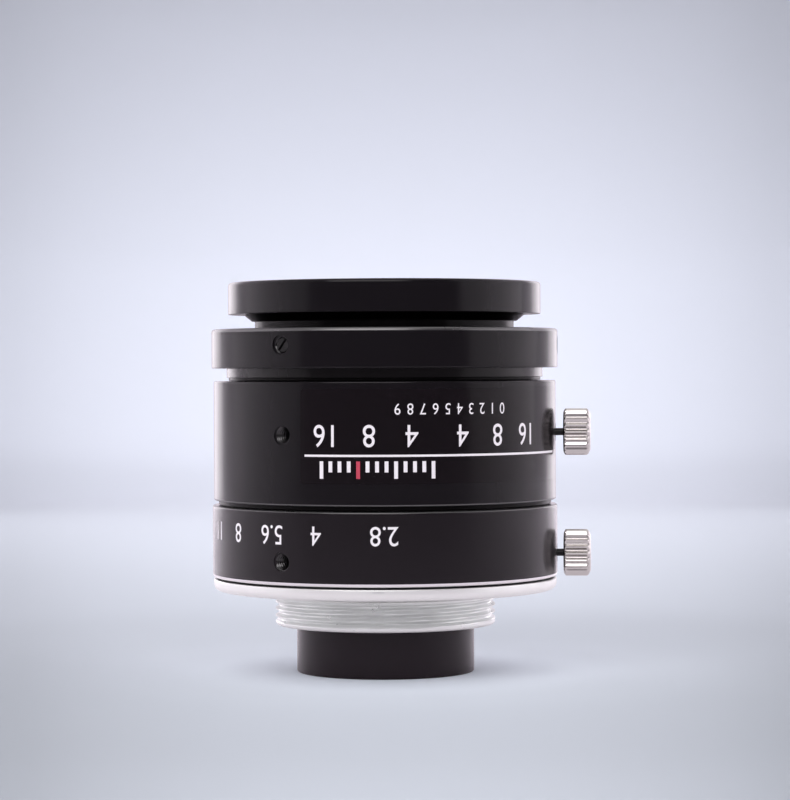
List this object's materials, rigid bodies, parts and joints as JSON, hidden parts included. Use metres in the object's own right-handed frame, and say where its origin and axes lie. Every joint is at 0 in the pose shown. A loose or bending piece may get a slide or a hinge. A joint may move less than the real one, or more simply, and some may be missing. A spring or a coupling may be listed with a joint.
{
  "type": "c-mount machine vision lens",
  "caption": "Fixed focal length machine vision lens with C-mount thread, turning focus and iris rings, knurled lock screws and blade iris.",
  "frame": {"origin": "middle of the foot of the bounding box, on the plane the rear tube rests on; the optical axis is parallel to Z at x = -1.95 mm, y = 0, because the lock screws stick out at the right", "axes": "+Z along the optical axis toward the front (object side), -Y toward the viewer of the picture (f/2.8 mark), +X toward the lock screws"},
  "size_m": [0.0438, 0.04, 0.0448],
  "materials": {
    "satin_chrome": "satin chromed brass, turned",
    "black_anodised": "satin black anodised, turned",
    "matt_black": "matt black anodised",
    "blackened_steel": "blackened",
    "nickel": "bright nickel plated, knurled",
    "brass": "turned, greased",
    "spring_steel": "bright",
    "coated_glass": "polished, coated",
    "nylon": "natural"
  },
  "bodies": {
    "base": {"c_mount": "satin_chrome", "mount_screw_1": "blackened_steel", "mount_screw_2": "blackened_steel", "mount_screw_3": "blackened_steel", "rear_tube": "black_anodised", "fourth_element": "coated_glass", "rear_spacer": "matt_black", "rear_element": "coated_glass", "rear_retainer": "black_anodised", "inner_frame": "matt_black", "iris_housing": "matt_black", "wave_washer": "spring_steel", "iris_clamp_ring": "matt_black", "main_barrel": "black_anodised", "barrel_screw_1": "blackened_steel", "barrel_screw_2": "blackened_steel", "barrel_screw_3": "blackened_steel", "guide_key": "spring_steel"},
    "iris": {"iris_ring": "black_anodised", "iris_link_screw": "blackened_steel", "iris_drive_ring": "brass"},
    "iris_lock_pad": {"iris_lock_pad": "nylon"},
    "iris_lock_screw": {"iris_lock_screw": "nickel"},
    "front_unit": {"front_barrel": "black_anodised", "helicoid_retainer": "matt_black", "front_retainer": "matt_black", "front_element": "coated_glass", "front_spacer": "matt_black", "second_element": "coated_glass", "second_spacer": "matt_black", "third_element": "coated_glass"},
    "focus": {"focus_ring": "black_anodised", "helicoid_sleeve": "brass", "focus_grub_screw_1": "blackened_steel", "focus_grub_screw_2": "blackened_steel", "focus_grub_screw_3": "blackened_steel"},
    "focus_lock_pad": {"focus_lock_pad": "nylon"},
    "focus_lock_screw": {"focus_lock_screw": "nickel"},
    "iris_blade_1": {"iris_blade_1": "blackened_steel"},
    "iris_blade_2": {"iris_blade_2": "blackened_steel"},
    "iris_blade_3": {"iris_blade_3": "blackened_steel"},
    "iris_blade_4": {"iris_blade_4": "blackened_steel"},
    "iris_blade_5": {"iris_blade_5": "blackened_steel"}
  },
  "joints": [
    {"name": "iris_turn", "type": "hinge", "parent": "base", "child": "iris", "pos_m": [-0.00195, 0, 0.0137], "axis": [0, 0, 1], "range_deg": [0, 85]},
    {"name": "focus_travel", "type": "slide", "parent": "base", "child": "front_unit", "axis": [0, 0, 1], "range_m": [0, 0.002]},
    {"name": "focus_turn", "type": "hinge", "parent": "front_unit", "child": "focus", "pos_m": [-0.00195, 0, 0.035], "axis": [0, 0, 1], "range_deg": [0, 180]},
    {"name": "iris_lock_travel", "type": "slide", "parent": "iris", "child": "iris_lock_pad", "axis": [0.9962, -0.0872, 0], "range_m": [0, 0.0008]},
    {"name": "iris_lock_turn", "type": "hinge", "parent": "iris_lock_pad", "child": "iris_lock_screw", "pos_m": [0.01788, -0.00173, 0.0137], "axis": [0.9962, -0.0872, 0], "range_deg": [0, 720]},
    {"name": "focus_lock_travel", "type": "slide", "parent": "base", "child": "focus_lock_pad", "axis": [0.9962, -0.0872, 0], "range_m": [0, 0.0008]},
    {"name": "focus_lock_turn", "type": "hinge", "parent": "focus_lock_pad", "child": "focus_lock_screw", "pos_m": [0.01773, -0.00172, 0.0276], "axis": [0.9962, -0.0872, 0], "range_deg": [0, 720]},
    {"name": "blade_1_swing", "type": "hinge", "parent": "base", "child": "iris_blade_1", "pos_m": [0.00885, 0, 0.013], "axis": [0, 0, 1], "range_deg": [0, 20.8]},
    {"name": "blade_2_swing", "type": "hinge", "parent": "base", "child": "iris_blade_2", "pos_m": [0.00139, 0.01027, 0.013], "axis": [0, 0, 1], "range_deg": [0, 20.8]},
    {"name": "blade_3_swing", "type": "hinge", "parent": "base", "child": "iris_blade_3", "pos_m": [-0.01068, 0.00635, 0.013], "axis": [0, 0, 1], "range_deg": [0, 20.8]},
    {"name": "blade_4_swing", "type": "hinge", "parent": "base", "child": "iris_blade_4", "pos_m": [-0.01068, -0.00635, 0.013], "axis": [0, 0, 1], "range_deg": [0, 20.8]},
    {"name": "blade_5_swing", "type": "hinge", "parent": "base", "child": "iris_blade_5", "pos_m": [0.00139, -0.01027, 0.013], "axis": [0, 0, 1], "range_deg": [0, 20.8]}
  ],
  "couplings": [
    {"joint": "focus_travel", "follows": "focus_turn", "m_per_rad": 0.00063662},
    {"joint": "iris_lock_turn", "follows": "iris_lock_travel", "rad_per_m": 15708},
    {"joint": "focus_lock_turn", "follows": "focus_lock_travel", "rad_per_m": 15708},
    {"joint": "blade_1_swing", "follows": "iris_turn", "ratio": 0.24476},
    {"joint": "blade_2_swing", "follows": "iris_turn", "ratio": 0.24476},
    {"joint": "blade_3_swing", "follows": "iris_turn", "ratio": 0.24476},
    {"joint": "blade_4_swing", "follows": "iris_turn", "ratio": 0.24476},
    {"joint": "blade_5_swing", "follows": "iris_turn", "ratio": 0.24476}
  ]
}
